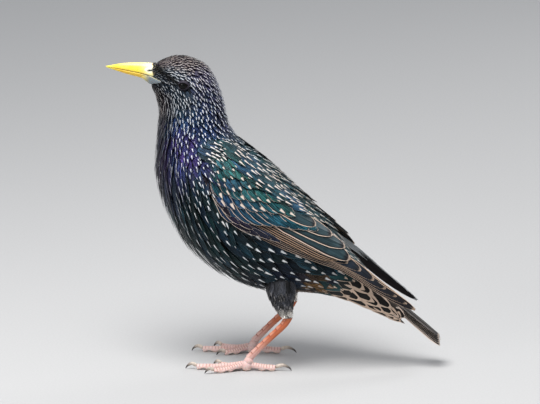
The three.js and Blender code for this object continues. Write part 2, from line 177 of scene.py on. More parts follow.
world = bpy.data.worlds.new("sky")
world.use_nodes = True
world.node_tree.nodes["Background"].inputs["Color"].default_value = (0.72, 0.76, 0.82, 1)
world.node_tree.nodes["Background"].inputs["Strength"].default_value = 0.6
bpy.context.scene.world = world
# name, place, width across and power of each round soft light, in metres and watts
LIGHTS = [
    ("overhead", (-0.1, -0.3, 0.9), 0.6, 12.0),
    ("front", (-0.9, -0.9, 0.45), 0.5, 3.6),
    ("back", (0.7, 0.8, 0.6), 0.4, 3.2),
]
for name, place, size, watts in LIGHTS:
    lamp = bpy.data.lights.new(name, "AREA")
    lamp.shape, lamp.size, lamp.energy = "DISK", size, watts
    stand(name, lamp, place, Vector((0, 0, 0.08)) - Vector(place))

# The skin. One surface under all the plumage, from the bill's base to the tips of
# the tail coverts, with the feathered thighs, sunk below the coat. Sizes are in mm.
MM = 0.001
# for each station: throat-and-belly point, crown-and-back point, half width, coat depth
STATIONS = [
    (-63.7, 146.6, -61.6, 157.4, 4.8, 0.5),  # bill base
    (-63.0, 144.6, -58.0, 159.6, 7.6, 0.9),
    (-62.2, 142.2, -50.5, 162.0, 10.2, 1.2),  # brow
    (-61.3, 139.2, -42.0, 160.9, 11.8, 1.4),
    (-60.6, 136.0, -34.4, 156.7, 12.7, 1.5),  # hind crown
    (-60.3, 132.0, -29.2, 148.0, 13.4, 1.8),
    (-60.7, 127.0, -25.7, 137.4, 14.2, 2.1),  # neck
    (-61.3, 120.0, -22.9, 125.8, 15.8, 2.4),
    (-62.2, 111.5, -15.2, 115.6, 19.2, 2.8),
    (-62.2, 99.0, -7.0, 110.2, 23.4, 3.2),  # shoulder
    (-57.2, 81.0, 3.2, 102.0, 26.2, 3.4),
    (-45.8, 61.4, 12.8, 92.8, 27.3, 3.4),  # keel
    (-29.0, 47.9, 21.2, 84.2, 26.5, 3.4),
    (-11.5, 40.6, 28.0, 77.0, 23.6, 3.2),
    (3.5, 38.6, 33.6, 69.4, 19.2, 3.0),  # vent
    (16.5, 38.2, 38.6, 61.8, 15.0, 2.6),
    (27.5, 37.0, 45.0, 54.4, 12.4, 2.4),  # tail base
    (38.0, 34.4, 52.0, 46.0, 10.8, 2.2),
    (50.0, 29.6, 60.0, 37.6, 9.2, 1.8),
    (61.0, 24.8, 66.5, 31.0, 7.4, 1.2),
    (69.0, 21.0, 71.0, 25.0, 4.6, 0.6),  # covert tips
]
COAT_DEPTH = [s[5] for s in STATIONS]
SQUARENESS = 2 / 2.15  # a little fuller than an oval across
# for each station down the thigh: place forward, share of the feet's spread, height, radius
THIGH = [(4.5, 0.80, 50, 8.4), (4.3, 0.88, 42, 7.8), (5.6, 0.97, 34, 5.2), (7.4, 1.0, 28.6, 2.9)]
FOOT_SPREAD = 17
SIDES = (("left", -1), ("right", 1))
TURN = 2 * math.pi


def each(*values):
    """One row of values for each place or feather, from arrays and plain numbers."""
    return np.stack(np.broadcast_arrays(*[np.asarray(v, float) for v in values]), -1)


def glide(values, t):
    """Smooth values between stations, for any array of places t."""
    v = np.asarray(values, float)
    v = v[:, None] if v.ndim == 1 else v
    v = np.vstack([2 * v[0] - v[1], v, 2 * v[-1] - v[-2]])
    t = np.clip(t, 0, len(v) - 3)
    i = np.minimum(t.astype(int), len(v) - 4)
    f = (t - i)[..., None]
    a, b, c, d = (v[i + k] for k in range(4))
    enter, leave = (c - a) / 2, (d - b) / 2
    flow = (2 * f**3 - 3 * f**2 + 1) * b + (f**3 - 2 * f**2 + f) * enter
    flow = flow + (3 * f**2 - 2 * f**3) * c + (f**3 - f**2) * leave
    return flow[..., 0] if flow.shape[-1] == 1 else flow


def on_body(t, angle, out):
    """The body's surface. The angle is 0 on the right side and a quarter turn on the back."""
    s = glide(STATIONS, t)
    middle = (s[..., 0:2] + s[..., 2:4]) / 2
    up = (s[..., 2:4] - s[..., 0:2]) / 2
    tall = np.linalg.norm(up, axis=-1)
    up = up / tall[..., None]
    bulge = lambda v: np.sign(v) * np.abs(v) ** SQUARENESS
    rise = (tall + out) * bulge(np.sin(angle))
    side = (s[..., 4] + out) * bulge(np.cos(angle))
    return each(middle[..., 0] + up[..., 0] * rise, side, middle[..., 1] + up[..., 1] * rise)


def on_thigh(side):
    def place(t, angle, out):
        x, y, z, r = np.moveaxis(glide(THIGH, t), -1, 0)
        r = r + out
        return each(x + r * np.cos(angle), side * (FOOT_SPREAD * y - 0.85 * r * np.sin(angle)), z)

    return place


def sleeve(place, rows, around, turns=1):
    """A closed tube with its surface at place(share along, angle); its map counts turns along."""
    bm = bmesh.new()
    bmesh.ops.create_grid(bm, x_segments=around, y_segments=rows, size=1)
    flat = np.array([v.co for v in bm.verts])
    length = bm.loops.layers.uv.new("length")
    for face in bm.faces:
        for loop in face.loops:
            x, y, _ = loop.vert.co
            loop[length].uv = ((x + 1) / 2, (y + 1) / 2 * turns)
    for v, co in zip(bm.verts, place((flat[:, 1] + 1) / 2, (flat[:, 0] + 1) * math.pi) * MM):
        v.co = co
    bmesh.ops.remove_doubles(bm, verts=bm.verts, dist=1e-7)
    bmesh.ops.holes_fill(bm, edges=[e for e in bm.edges if e.is_boundary])
    bmesh.ops.recalc_face_normals(bm, faces=bm.faces)
    return bm


def sunk_body(share, angle):
    """Under the coat, and ending a little short of the covert tips."""
    t = share * (len(STATIONS) - 2.2)
    return on_body(t, angle, -glide(COAT_DEPTH, t) - 0.2)


def sunk_thigh(side):
    place = on_thigh(side)
    return lambda share, angle: place(share * 3, angle, -1.5 + 0.7 * share)


legs = [sleeve(sunk_thigh(side), 18, 28) for _, side in SIDES]
flesh = stand("flesh", mesh_of(sleeve(sunk_body, 150, 72), *legs))
fuse = flesh.modifiers.new("fuse", "REMESH")
fuse.mode, fuse.voxel_size, fuse.use_smooth_shade = "VOXEL", 1.1 * MM, True
soften = flesh.modifiers.new("soften", "SMOOTH")
soften.factor, soften.iterations = 0.5, 4
skin_mesh = bpy.data.meshes.new_from_object(flesh.evaluated_get(bpy.context.evaluated_depsgraph_get()))
bpy.data.objects.remove(flesh)

# The plumage's colours and markings, the same on the skin and on the feathers.
# Gloss runs from violet on the neck to green on the back; each feather ends pale.
GLOSS = {
    "crown": "#2a2228",
    "cheek": "#17212c",
    "lores": "#08080a",
    "throat": "#1d171d",
    "nape": "#252447",
    "plum": "#2b1a27",
    "violet": "#281b4a",
    "blue": "#152a50",
    "green": "#113437",
    "deep": "#0b1a1b",
    "night": "#090d17",
    "vent": "#251c17",
}


def step(value, low, high):
    """A smooth step from 0 to 1 as value goes from low to high."""
    x = np.clip((value - low) / (high - low), 0, 1)
    return x * x * (3 - 2 * x)


def over(base, colour, share):
    """One colour over another by share, for each feather; a colour may be given by its code."""
    base, colour = (np.array(dye(c) if isinstance(c, str) else c) for c in (base, colour))
    return base + (colour - base) * np.asarray(share)[..., None]


def body_dye(t, angle):
    """The gloss colour of the plumage at station t of the body, at an angle round it."""
    back, front = np.sin(angle), -np.sin(angle)
    violet = step(t, 5.8, 7) * (1 - step(t, 7.8, 9.2)) * step(front, -0.5, 0.1)
    layers = [
        ("crown", step(back, 0.35, 0.8) * (1 - step(t, 5.5, 7))),
        ("nape", step(back, 0, 0.6) * step(t, 2.8, 4.5) * (1 - step(t, 6.5, 8)) * 0.7),
        ("throat", step(front, 0.2, 0.7) * (1 - step(t, 7.5, 9.5))),
        ("blue", step(t, 4.8, 6) * (1 - step(t, 7.5, 9)) * (1 - step(np.abs(back), 0.5, 0.9)) * 0.7),
        ("violet", violet * (1 - 0.65 * step(front, 0.5, 0.95))),
        ("plum", step(front, 0.5, 0.9) * step(t, 5, 7) * (1 - step(t, 9.5, 11)) * 0.8),
        ("green", step(t, 6.5, 8.5) * step(back, 0.1, 0.55)),
        ("deep", step(t, 8.6, 9.6) * step(front, -0.3, 0.1)),
        ("night", step(t, 11, 12.5) * step(front, -0.2, 0.2)),
        ("vent", step(t, 13.2, 14.6) * step(front, 0, 0.4)),
    ]
    colour = GLOSS["cheek"]
    for name, share in layers:
        colour = over(colour, GLOSS[name], share)
    return colour


# A feather's vane is a thin closed leaf: crowned above, flat below, with its rims
# shared. All the feathers of a piece are made together, as one joined mesh.
class Feathers:
    def __init__(self):
        self.parts = []

    def grow(
        self, place, root, tip, half, low, high, dyes, mark, trim, patch, *, rows, start, power, blunt,
        lean=0, bend=0, columns=(-1, -0.5, 0, 0.5, 1), cup=0.03, ridge=0, ragged=0.05, patch_size=(0.003, 0.003),
    ):
        """Adds feathers from root to tip on the surface place(u, v, out), from low to high over it.

        Each narrows from start on, more bluntly as power grows and blunt shrinks. lean tilts the vane,
        bend bows it sideways, cup rounds it and ridge is its shaft. mark holds the pale spot's length,
        warmth, chance and strength; trim the pale edges' widths (lower, upper, tip) and the dark line's
        strength inside them; patch is where its colours are baked.
        """
        columns = np.array(columns)
        count = len(root)
        fill = lambda value: np.broadcast_to(np.asarray(value, float), (count,))
        half, low, high, lean, bend = map(fill, (half, low, high, lean, bend))
        s = 1 - (1 - np.linspace(0, 1, rows)) ** 1.4  # the rows crowd towards the tip
        width = np.minimum(1, 0.45 + 1.7 * s)
        width = width * np.maximum(0.05, 1 - np.clip((s - start) / (1 - start), 0, 1) ** power) ** blunt
        width = half[:, None] * width * (1 + ragged * rng.uniform(-1, 1, (count, rows)))
        u, v = np.moveaxis(root[:, None] + (tip - root)[:, None] * s[:, None], -1, 0)
        out = low[:, None] + (high - low)[:, None] * s**0.8
        spine = place(u, v, out)
        tangent = np.gradient(spine, axis=1)
        tangent /= np.linalg.norm(tangent, axis=-1, keepdims=True) + 1e-9
        normal = place(u, v, out + 0.05) - spine
        normal -= tangent * (normal * tangent).sum(-1, keepdims=True)
        normal /= np.linalg.norm(normal, axis=-1, keepdims=True) + 1e-9
        across = np.cross(normal, tangent)
        spine = spine + across * (bend[:, None] * np.sin(np.pi * s))[..., None]
        reach = columns * width[..., None]
        lift = -cup * reach**2 - lean[:, None, None] * reach + ridge * np.maximum(0, 1 - np.abs(columns) * 12)
        points = spine[:, :, None] + across[:, :, None] * reach[..., None] + normal[:, :, None] * lift[..., None]
        uv = each((columns + 1) / 2, s[:, None])
        bake = np.asarray(patch)[:, None, None] + (uv - 0.5) * np.asarray(patch_size)
        shades = np.hstack([np.broadcast_to(dyes, (count, 3)), np.ones((count, 1))])
        part = {"points": points, "vane": uv, "OFBake": bake}
        for key, value in (("dye", shades), ("mark", mark), ("trim", trim)):
            part[key] = np.asarray(value, float).reshape(-1, 1, 1, 4)
        for key, value in part.items():
            part[key] = np.broadcast_to(value, (*points.shape[:3], value.shape[-1]))
        self.parts.append(part)

    def mesh(self, mirror=False):
        """All the feathers grown so far as one mesh, or its mirror image for the right side."""
        faces, rims, base = [], [], 0
        for part in self.parts:
            count, rows, columns = part["points"].shape[:3]
            at = np.arange(rows * columns).reshape(rows, columns)
            quads = np.stack([at[:-1, :-1], at[:-1, 1:], at[1:, 1:], at[1:, :-1]], -1).reshape(-1, 4)
            under = np.stack([at[:-1, 0], at[1:, 0], at[1:, -1], at[:-1, -1]], -1)
            caps = np.stack([at[0, ::-1], at[-1]])
            shift = base + np.arange(count)[:, None, None] * rows * columns
            faces += [(np.vstack([quads, under]) + shift).reshape(-1, 4), (caps + shift).reshape(-1, columns)]
            rim = np.zeros((rows, columns), int)
            rim[:, 0], rim[:, -1] = 1, 2
            rims.append(np.tile(rim.ravel(), count))
            base += count * rows * columns
        gather = lambda key: np.concatenate([p[key].reshape(-1, p[key].shape[-1]) for p in self.parts])
        points = gather("points") * MM
        if mirror:
            points[:, 1] *= -1
            faces = [face[:, ::-1] for face in faces]
        corners = np.concatenate([face.ravel() for face in faces])
        totals = np.concatenate([np.full(len(face), face.shape[1]) for face in faces])
        mesh = bpy.data.meshes.new("feathers")
        mesh.vertices.add(len(points))
        mesh.vertices.foreach_set("co", points.ravel())
        mesh.loops.add(len(corners))
        mesh.loops.foreach_set("vertex_index", corners)
        mesh.polygons.add(len(totals))
        mesh.polygons.foreach_set("loop_start", np.concatenate([[0], np.cumsum(totals)[:-1]]))
        mesh.polygons.foreach_set("loop_total", totals)
        mesh.update(calc_edges=True)
        ends = np.zeros(2 * len(mesh.edges), int)
        mesh.edges.foreach_get("vertices", ends)
        ends = np.concatenate(rims)[ends.reshape(-1, 2)]
        crease = mesh.attributes.new("sharp_edge", "BOOLEAN", "EDGE")
        crease.data.foreach_set("value", (ends[:, 0] == ends[:, 1]) & (ends[:, 0] > 0))
        for key in ("vane", "OFBake"):
            mesh.uv_layers.new(name=key).data.foreach_set("uv", gather(key)[corners].ravel())
        for key in ("dye", "mark", "trim"):
            mesh.attributes.new(key, "FLOAT_COLOR", "POINT").data.foreach_set("color", gather(key).ravel())
        mesh.validate()
        return mesh


def plumage(name, metal, rough, strands=0.8, gloss=0.35, slim=0.2, barbs=260, slope=0.32):
    """Feather: glossy barbs in the feather's own dye, partly lightened along strands as painted sheen, a pale tip
    and pale trimmed edges.
    """
    material, wire = finish(name, Specular_IOR_Level=0.3)
    highest = lambda a, b: a.maths("MAXIMUM", b)
    x, v, _ = wire.node("UVMap", {"uv_map": "vane"}).split()
    across = x * 2 - 1
    u = across.maths("ABSOLUTE")
    spot, warm, chance = wire.read("mark").split("SeparateColor")
    lower, upper, end = wire.read("trim").split("SeparateColor")
    # strands run with the lie of the feather, barbs slant out from its shaft
    cloud = wire.place().noise(160, 3)
    lie = wire.node("CombineXYZ", sockets={0: across * 7 + chance * 40, 1: v * 1.7 - u * 0.8, 2: chance * 20})
    strand = wire.node("TexNoise", sockets={"Vector": lie, "Scale": 1.6, "Detail": 4, "Roughness": 0.62})
    barb = ((v - u * slope) * barbs + chance * 9).maths("SINE")

    def rim(inset, low, high):
        """The vane's two edges, as wide as its trim and inset, with a soft limit from low to high."""
        below = (0 - across - (1 - lower * 2 - inset)).ramp(low, high)
        return highest(below, (across - (1 - upper * 2 - inset)).ramp(low, high))

    edge = rim(0, -0.02, 0.02) * v.ramp(0.12, 0.3)
    tip = (v - (1 - end) + u * u * end * 0.5).ramp(-0.008, 0.012)
    narrow = 1 - (u + (strand - 0.5) * 0.5).ramp(slim, slim + 0.2)
    spotted = (v - (1 - spot) + (strand - 0.5) * 0.16).ramp(-0.012, 0.03) * narrow * wire.read("mark", 3)
    pale = highest(highest(edge, tip), spotted)
    near = highest(rim(0.14, -0.04, 0.06), (v - (1 - end * 2 - 0.02)).ramp(-0.03, 0.02))
    near = near * wire.read("trim", 3)
    # the strands darken and lighten the dye: partly the barbs' own tone, partly painted sheen along them
    shade = strand.ramp(0.4, 0.62, 1 - 0.85 * strands, 1 + 1.7 * strands) * cloud.ramp(0.3, 0.7, 0.7, 1.2)
    body = (shade * (1 + barb * 0.06)).shade(wire.read("dye"))
    body = near.blend(body, (0.004, 0.004, 0.006, 1))
    body = ((1 - u.ramp(0.015, 0.06)) * 0.45).blend(body, (0.008, 0.007, 0.008, 1))
    pale.blend(body, warm.blend("#dadddf", "#b3844e")).feed("Base Color")
    bare = 1 - highest(pale, near * 0.5)
    (bare * metal).feed("Metallic")
    (rough + (1 - bare) * 0.2 + (strand - 0.5) * 0.3).feed("Roughness")
    (strand * strands + barb * 0.25).bump(gloss, 0.00015)
    return material


# The roots of the body's feathers, scattered over the body at the spacing of the
# place: many guesses are drawn, and each root kept clears those too near to it.
rng = np.random.default_rng(27)
GUESSES, LAST_ROOT = 90000, 16.2
# for each station: the distance between feather roots, finest on the face and widest on the belly
SPACING = [0.8, 0.9, 1.1, 1.25, 1.4, 1.5, 1.65, 1.9, 2.4, 3.0, 3.8, 4.6, 5.0, 4.9, 4.4, 4.0, 3.8, 3.8, 3.8]


def spacing(t, back):
    """The distance between roots, closer over the shoulder and at the bend of the wing."""
    bend = step(t, 7.4, 8.2) * (1 - step(t, 9.2, 10.4)) * (1 - step(np.abs(back - 0.1), 0.4, 0.9))
    return glide(SPACING, t) * (1 - 0.3 * step(back, 0.2, 0.7) * step(t, 8.5, 10.5)) * (1 - 0.22 * bend)


def draw(shape):
    """Chance values from 0 to 1."""
    return rng.uniform(0, 1, shape)


def finder_of(points):
    """Finds the points that lie near a place."""
    tree = kdtree.KDTree(len(points))
    for i, point in enumerate(points):
        tree.insert(point, i)
    tree.balance()
    return tree


guess_t = rng.uniform(0.02, LAST_ROOT, GUESSES)
guess_a = rng.uniform(0, TURN, GUESSES)
spot_of = on_body(guess_t, guess_a, 0)
run = (on_body(guess_t + 0.01, guess_a, 0) - spot_of) / 0.01
girth = (on_body(guess_t, guess_a + 0.01, 0) - spot_of) / 0.01
area = np.linalg.norm(np.cross(run, girth), axis=-1)
gap = spacing(guess_t, np.sin(guess_a))
likely = area / gap**2
chosen = np.flatnonzero(draw(GUESSES) < likely / np.quantile(likely, 0.97))
finder = finder_of(spot_of[chosen])
taken = np.zeros(len(chosen), bool)
roots = []
for i, k in enumerate(chosen):
    if not taken[i]:
        roots.append(k)
        for _, j, _ in finder.find_range(Vector(spot_of[k]), float(gap[k])):
            taken[j] = True

# The folded wing's shell, on which its feathers lie: along runs from the bend of
# the wing to its tip, and up from its lower edge over towards the back.
BEND, WING_TIP = np.array([-35.4, 99.3]), np.array([73.0, 31.0])
WING_LONG = float(np.linalg.norm(WING_TIP - BEND))
WING_AXIS = (WING_TIP - BEND) / WING_LONG
WING_OVER = np.array([-WING_AXIS[1], WING_AXIS[0]])
# for each station along the wing: its middle line, height, half width of the bird, lower edge
SHELL = [
    (-3.0, 28.5, 20.5, 4.0),
    (-7.2, 30.4, 25.0, -0.5),
    (-9.2, 28.4, 26.6, 3.2),
    (-7.3, 22.6, 24.8, 4.6),
    (-3.0, 14.5, 19.6, 3.6),
    (-1.0, 8.5, 14.6, 0.8),
    (0.0, 5.0, 11.0, 0.0),
]
WING_TOP = 26


def on_wing(along, up, out):
    """The left wing's shell, at a place along it and up it."""
    middle, high, wide, edge = np.moveaxis(glide(SHELL, along / WING_LONG * 6), -1, 0)
    turn = (up + edge * (1 - up / WING_TOP)) / high
    across = middle + (high + out) * np.sin(turn)
    x = BEND[0] + WING_AXIS[0] * along + WING_OVER[0] * across
    z = BEND[1] + WING_AXIS[1] * along + WING_OVER[1] * across
    return each(x, -(wide + out) * np.cos(turn), z)


def covered(points, spare=0.0):
    """Whether points of the body lie under the folded wing of their side, by at least spare."""
    flat = points[..., [0, 2]] - BEND
    along = flat @ WING_AXIS
    across = flat @ WING_OVER
    middle, high, wide, edge = np.moveaxis(glide(SHELL, np.clip(along / WING_LONG * 6, 0, 6)), -1, 0)
    turn = np.arctan2((across - middle) / high, np.abs(points[..., 1]) / wide)
    up = (turn * high - edge) / (1 - edge / WING_TOP)
    top = 21 - 0.25 * np.maximum(0, along - 60)
    return (along > 3 + spare) & (along < 124) & (up > 2.0 + spare) & (up < top - spare)


# The body's coat: small on the head, long and narrow on the throat, broad and
# round on the belly and back. It is parted into pieces by region.
RUMP = 15  # the station where the body ends and the tail begins
EYE = np.array([-45.7, 10.4, 148.9])
GAPE_START, GAPE_LONG, GAPE_HIGH = -64.5, 7.5, 149.9
# for each station: the share of a feather's length that its pale spot takes, and the spot's strength
SPOT = [0.4, 0.45, 0.5, 0.52, 0.5, 0.45, 0.36, 0.28, 0.25, 0.24, 0.23, 0.23, 0.22, 0.22, 0.22, 0.22, 0.22]
STRONG = [0.4, 0.65, 0.75, 0.78, 0.8, 0.85, 0.95, 1, 1, 1, 1, 1, 1, 1, 1, 1, 1]


def by_eye(points, near):
    """Whether points of the head lie in the bare oval round the eye."""
    gap = np.hypot((points[:, 0] - EYE[0]) / 1.22, points[:, 2] - EYE[2])
    return (gap < near) & (np.abs(points[:, 1]) > 6)


def keep(name, mesh, material, replaces=()):
    """Puts a finished mesh into the scene as a piece that rides on the bird."""
    mesh.name = name
    mesh.materials.append(material)
    piece = stand(name, mesh)
    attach(piece, "root")
    if replaces:
        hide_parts(*replaces)


t0, a0, pitch = guess_t[roots], guess_a[roots], gap[roots]
count = len(t0)
back, front = np.sin(a0), -np.sin(a0)
hackle = step(front, 0.05, 0.5) * step(t0, 2, 5) * (1 - step(t0, 10.5, 12.8))
length = pitch * (2.8 + 0.7 * step(t0, 6, 9) + 1.8 * hackle)
t1 = np.minimum(t0 + length / np.maximum(np.linalg.norm(run[roots], axis=-1), 2.0), t0 + 2.4)
a1 = a0 + rng.normal(0, 0.035, count)
root_uv, tip_uv = each(t0, a0), each(t1, a1)
half_wide = pitch * (0.62 - 0.14 * hackle - 0.08 * step(back, 0.1, 0.6) * step(t0, 7, 9))
depth = glide(COAT_DEPTH, t0)
root_at, tip_at = on_body(t0, a0, 0), on_body(t1, a1, 0)
x, z = root_at[:, 0], root_at[:, 2]
gape_share = np.clip((x - GAPE_START) / GAPE_LONG, 0, 1)
gape_gap = np.abs(z - GAPE_HIGH)
near_gape = (gape_gap < 2.0 - 1.3 * gape_share) & (x < -57.6) & (np.abs(root_at[:, 1]) > 3)
fine = ~covered(tip_at, 1.0) & ~by_eye(root_at, 2.22) & ~by_eye(tip_at, 2.05) & ~near_gape
# the dark lores slant from the bill to the eye, under a pale brow; the gape's rim is grey
dyes = body_dye(t0, a0)
lores = np.exp(-(((z - 149.3 + 0.44 * (x + 47)) / 1.9) ** 2)) * (1 - step(x, -46, -43.5))
lores = lores * (np.abs(root_at[:, 1]) > 2)
brow = np.exp(-(((z - 153.0 + 0.25 * (x + 46)) / 1.4) ** 2)) * step(-x, 36, 40) * step(x, -58, -54)
gape = np.exp(-((gape_gap / (2.0 - 1.2 * gape_share)) ** 2)) * (1 - step(x, -59.5, -57))
dyes = over(over(dyes, GLOSS["lores"], lores), "#8d969c", gape)
# single feathers shine blue, green, or brown at the vent
chance = draw(count)
shift = draw((count, 2)) ** 2
dyes = over(dyes, GLOSS["blue"], (0.4 - 0.2 * step(t0, 9, 11)) * shift[:, 0] * step(t0, 4, 6))
dyes = over(dyes, GLOSS["green"], (0.4 - 0.1 * step(t0, 9, 11)) * shift[:, 1] * step(t0, 3, 6))
dyes = over(dyes, "#7a5a32", 0.7 * chance**3 * step(front, -0.1, 0.3) * step(t0, 13, 14.2))
dyes = dyes * (0.7 + 0.6 * draw((count, 1)))
vent = step(front, 0, 0.4) * step(t0, 13, 14.4)
spots = glide(SPOT, t0) + 0.08 * step(back, 0.1, 0.5) * step(t0, 7.5, 9)
spots = spots * (0.85 + 0.3 * chance) * np.where(draw(count) < 0.08, 0.4, 1) + 0.2 * brow
strong = np.clip(glide(STRONG, t0) + 0.8 * brow, 0, 1) * (1 - lores) * (1 - gape) * (0.75 + 0.25 * chance)
strong = strong * (1 - 0.75 * step(front, 0.35, 0.8) * step(t0, 3.5, 5) * (1 - step(t0, 8.5, 10.5)))
strong = strong * (1 - 0.5 * vent)
warmth = 0.4 * step(back, 0.2, 0.7) * step(-t0, -6, -2) + 0.5 * step(back, 0.1, 0.5) * step(t0, 7.5, 9.5)
warmth = warmth + 0.35 * step(front, 0.5, 0.9) * step(-t0, -7, -4) + 0.5 * vent
warmth = np.clip(warmth + 0.25 * (draw(count) - 0.5), 0, 1)
marks = each(spots, warmth, chance, strong)
patches = each(a0 / TURN, t0 / (len(STATIONS) - 1))
tips_over = rng.uniform(-0.25, 0.1, count) * depth * 0.25

body_feather = plumage("body_feather", 0.62, 0.38, 0.95, 0.5)
head_feather = plumage("head_feather", 0.5, 0.45, slim=0.12)
COATS = [
    ("coat_head", t0 < 5.4, "head_plumage", head_feather),
    ("coat_neck", (t0 >= 5.4) & (t0 < 8.3), "head_plumage", body_feather),
    ("coat_breast", (t0 >= 8.3) & (t0 < RUMP) & (back < 0.1), "body_plumage", body_feather),
    ("coat_mantle", (t0 >= 8.3) & (t0 < RUMP) & (back >= 0.1), "body_plumage", body_feather),
]
PLAIN = (0, 0, 0, 0)  # no trimmed edges
LANCE = {"start": 0.3, "power": 1.5, "blunt": 0.9}
ROUND = {"start": 0.4, "power": 1.9, "blunt": 0.75}
for name, region, slot, material in COATS:
    coat = Feathers()
    for form, shaped in ((ROUND, hackle <= 0.45), (LANCE, hackle > 0.45)):
        m = fine & region & shaped
        if m.any():
            coat.grow(
                on_body, root_uv[m], tip_uv[m], half_wide[m], -depth[m], tips_over[m], dyes[m], marks[m], PLAIN,
                patches[m], rows=8, cup=0.04, ragged=0.08, **form,
            )
    keep(name, coat.mesh(), material)

# The skin's finish: the dye of the feathers over each place, darker, with fine down.
# Each point of the skin takes the dye of the nearest of a net of places on the body.
skin_paint, wire = finish("skin_paint", Roughness=0.7)
here = np.zeros(3 * len(skin_mesh.vertices))
skin_mesh.vertices.foreach_get("co", here)
net_t, net_a = np.meshgrid(np.linspace(0, 20, 121), np.linspace(0, TURN, 73)[:-1])
net_t, net_a = net_t.ravel(), net_a.ravel()
finder = finder_of(on_body(net_t, net_a, -2))
nearest = np.array([finder.find(Vector(point))[1] for point in here.reshape(-1, 3) / MM])
skin_dye = body_dye(net_t[nearest], net_a[nearest]) * 0.45
paint = skin_mesh.attributes.new("dye", "FLOAT_COLOR", "POINT")
paint.data.foreach_set("color", np.hstack([skin_dye, np.ones((len(skin_dye), 1))]).ravel())
down = wire.place().noise(900, 4)
down.ramp(0.3, 0.7, 0.5, 1.1).shade(wire.read("dye")).feed("Base Color")
down.bump(0.5, 0.0003)
keep("skin", skin_mesh, skin_paint, ["head", "neck", "torso", "thigh_left", "thigh_right"])


# The thighs' coat: short soft feathers down to the heel, ending in a pale cuff. They
# stand in staggered rings, and none grows where the wing lies over the thigh.
def rings(rows, number, stray):
    """Roots in staggered rings, with number(t) of them in the ring at each t of the rows."""
    return np.array([
        (t + stray * rng.normal(), TURN * (k + 0.5 * (i % 2)) / int(number(t)))
        for i, t in enumerate(rows)
        for k in range(int(number(t)))
    ])


thigh_feather = plumage("thigh_feather", 0.2, 0.55, 0.9)
for name, side in SIDES:
    place = on_thigh(side)
    coat = Feathers()
    cells = rings(np.arange(0.1, 2.75, 0.16), lambda t: 20 - 4 * t, 0.04)
    cells = cells[~covered(place(cells[:, 0], cells[:, 1], np.zeros(len(cells))), 2)]
    t, a = cells.T
    n = len(t)
    ends = each(np.minimum(t + 1.0 - 0.17 * t, 3.02), a + 0.12 * rng.normal(size=n))
    tone = over("#1f2024", "#a39e97", step(t, 1.3, 2.4)) * rng.uniform(0.6, 1.9, (n, 1)) ** 2
    chance, strong = draw((2, n))
    strong = strong**2 * (0.45 + 0.55 * step(t, 1.2, 2.2))
    mark = each(0.3 + 0.3 * step(t, 2.1, 2.6), 0.25, chance, strong)
    patch = each(a / TURN * 0.2 + (0.3 if side < 0 else 0.6), 0.84 + t * 0.04)
    coat.grow(
        place, cells, ends, 1.9 - 0.3 * t, -1.5 + 0.2 * t, 0.1 + 0.2 * rng.normal(size=n), tone, mark,
        (0, 0, 0, 0.3), patch, rows=6, cup=0.08, start=0.4, power=1.6, blunt=0.8,
    )
    keep(f"coat_thigh_{name}", coat.mesh(), thigh_feather)

# The folded wings, feather by feather: primaries lowest, secondaries and tertials
# over them, then rows of coverts that shrink towards the bend, and the scapulars.
BROAD = (-1, -0.7, -0.35, -0.06, 0, 0.06, 0.35, 0.7, 1)
QUILL = {"columns": BROAD, "cup": 0.02, "ridge": 0.12, "ragged": 0.02}
SOFT = {"start": 0.35, "power": 1.6, "blunt": 0.85}


def spread(n):
    return np.linspace(0, 1, n)


def strip(k, number, row):
    """Where a wing feather's colours are baked: one of many strips in a row."""
    return each(0.03 + 0.94 * (k + 0.5 / number) / (1 + 1 / number), row)


def keep_wing(piece, feathers, material, sides=SIDES):
    for name, side in sides:
        keep(f"{piece}_{name}", feathers.mesh(side > 0), material, [f"wing_{name}_{piece}"])


# the far wing shows the inside of its primaries; its wider and paler upper edge is a painted highlight, the light
# caught along that wing's rim
flight_feather = plumage("flight_feather", 0.35, 0.42, 0.25, 0.2, barbs=900, slope=0.05)
for this_side, (upper, warm) in zip(SIDES, ((0.05, 0.7), (0.15, 0.0))):
    primaries = Feathers()
    n = 7
    k = spread(n)
    end = WING_LONG - 0.4 - 43 * k**1.15 + 0.3 * rng.uniform(-1, 1, n)
    primaries.grow(
        on_wing, each(6, 2.6 + 9 * k), each(end, 1.4 + 4.4 * k), 2.7 + 0.9 * k, -0.9 + 0.7 * k, -0.95 + k,
        over("#211d20", "#1e2833", k), each(0, warm, draw(n), 1), each(0.022, upper, 0.011, 0.8),
        strip(k, n, 0.15), rows=26, lean=0.16, bend=0.6 + 0.8 * k, start=0.82, power=2.2, blunt=0.55,
        patch_size=(0.07, 0.27), **QUILL,
    )
    keep_wing("primaries", primaries, flight_feather, [this_side])

secondaries = Feathers()
n = 5
k = spread(n)
end = 77.0 + 7.5 * k + 0.3 * rng.uniform(-1, 1, n)
secondaries.grow(
    on_wing, each(14, 7.4 + 5.5 * k), each(end, 4.6 + 3.4 * k), 3.6, 0.6 + 0.5 * k, 0.35 + 0.8 * k,
    over("#241d1b", "#1c343c", k), each(0, 0.8, draw(n), 1), each(0.028, 0.05, 0.012, 0.9),
    strip(k, n, 0.45), rows=22, lean=0.13, bend=2.2, start=0.8, power=2.2, blunt=0.5,
    patch_size=(0.1, 0.27), **QUILL,
)
tertial_tips = np.array([(84.2, 7.7), (79, 14), (70, 19.5), (60, 21.5)])
n = len(tertial_tips)
k = spread(n)
secondaries.grow(
    on_wing, each(28 - 10 * k, 14.5 + 6 * k), tertial_tips, 5.0, 1.4 + 0.5 * k, 1.3 + 0.9 * k, dye("#27393e"),
    each(0, 0.6, draw(n), 0), each(0.045, 0.05, 0.014, 1), strip(k, n, 0.8), rows=20, lean=0.12,
    bend=2.2 - k, start=0.74, power=2.2, blunt=0.5, patch_size=(0.15, 0.27), **QUILL,
)
keep_wing("secondaries", secondaries, flight_feather)

